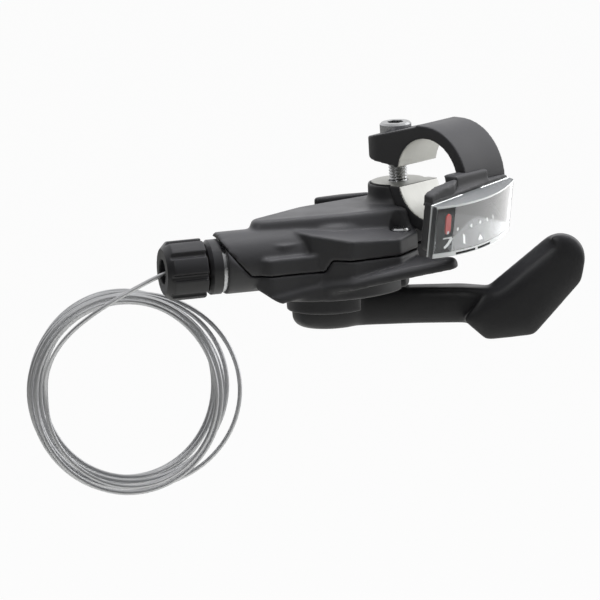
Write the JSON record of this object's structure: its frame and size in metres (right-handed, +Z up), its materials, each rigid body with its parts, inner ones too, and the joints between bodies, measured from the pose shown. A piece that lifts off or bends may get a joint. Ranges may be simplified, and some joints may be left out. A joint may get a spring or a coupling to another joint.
{
  "type": "trigger gear shifter",
  "caption": "Handlebar trigger shifter with split clamp, thumb lever, release trigger, gear indicator window and barrel adjuster, with its inner cable in a loose coil.",
  "frame": {"origin": "centre of the handlebar clamp bore", "axes": "+X along the handlebar to its outboard end, +Y to the front of the bicycle, +Z up along the clamp bolt"},
  "size_m": [0.1077, 0.122, 0.0962],
  "materials": {
    "black_moulding": "moulded glass-filled nylon, satin",
    "coated_aluminium": "black coated aluminium, bare in the bore",
    "bright_steel": "zinc plated steel",
    "cable_steel": "drawn stranded steel",
    "plain_steel": "stamped steel",
    "stem_brass": "turned brass",
    "spool_nylon": "moulded nylon",
    "clear_lens": "clear moulded polycarbonate",
    "dial_black": "printed dial card",
    "needle_red": "red moulded needle"
  },
  "bodies": {
    "root": {"clamp_bracket": "coated_aluminium", "clamp_bolt": "bright_steel", "upper_cover": "black_moulding", "lower_housing": "black_moulding", "cover_screw": "bright_steel", "base_plate": "plain_steel", "bracket_screw": "plain_steel", "pivot_axle": "plain_steel", "axle_washer": "plain_steel", "axle_nut": "plain_steel", "winder_spring": "plain_steel", "cable_run": "cable_steel", "lever_spring": "plain_steel", "hold_pawl_pin": "plain_steel", "trigger_pin": "plain_steel", "adjuster_seat_ring": "bright_steel", "adjuster_collar": "black_moulding", "indicator_base": "black_moulding", "indicator_dial": "dial_black", "indicator_lens": "clear_lens", "cable_lead": "cable_steel", "cable_coil": "cable_steel"},
    "winder": {"cable_spool": "spool_nylon", "ratchet_wheel": "plain_steel", "drive_ratchet": "plain_steel", "cable_end": "cable_steel"},
    "lever": {"thumb_lever": "black_moulding", "lever_plate": "plain_steel", "drive_pawl_pin": "plain_steel"},
    "drive_pawl": {"drive_pawl": "plain_steel"},
    "hold_pawl": {"hold_pawl": "plain_steel"},
    "trigger": {"release_trigger": "black_moulding"},
    "needle": {"indicator_needle": "needle_red"},
    "barrel": {"barrel_adjuster": "black_moulding", "adjuster_stem": "stem_brass"}
  },
  "joints": [
    {"name": "lever_push", "type": "hinge", "parent": "root", "child": "lever", "pos_m": [-0.01994, 0.02645, -0.02], "axis": [0, 0, 1], "range_deg": [0, 48], "stiffness_Nm_per_rad": 0.15, "springref_deg": -11.46},
    {"name": "winder_turn", "type": "hinge", "parent": "root", "child": "winder", "pos_m": [-0.01994, 0.02645, -0.02], "axis": [0, 0, 1], "range_deg": [0, 145.2]},
    {"name": "needle_slide", "type": "slide", "parent": "root", "child": "needle", "axis": [0.9942, 0.0923, 0.0549], "range_m": [0, 0.0222]},
    {"name": "release_pull", "type": "hinge", "parent": "root", "child": "trigger", "pos_m": [-0.00672, 0.0244, -0.0164], "axis": [0, 0, 1], "range_deg": [0, 10], "stiffness_Nm_per_rad": 0.1, "springref_deg": -8.59},
    {"name": "hold_pawl_lift", "type": "hinge", "parent": "root", "child": "hold_pawl", "pos_m": [-0.01782, 0.01443, -0.0164], "axis": [0, 0, -1], "range_deg": [0, 9]},
    {"name": "drive_pawl_lift", "type": "hinge", "parent": "lever", "child": "drive_pawl", "pos_m": [-0.01009, 0.02909, -0.0225], "axis": [0, 0, -1], "range_deg": [0, 6], "stiffness_Nm_per_rad": 0.002, "springref_deg": -5.73},
    {"name": "barrel_turn", "type": "hinge", "parent": "root", "child": "barrel", "pos_m": [-0.05055, 0.03609, -0.0194], "axis": [-0.8572, 0.515, 0], "continuous": true}
  ],
  "couplings": [
    {"joint": "needle_slide", "follows": "winder_turn", "m_per_rad": 0.0082866},
    {"joint": "hold_pawl_lift", "follows": "release_pull", "ratio": 0.88}
  ]
}
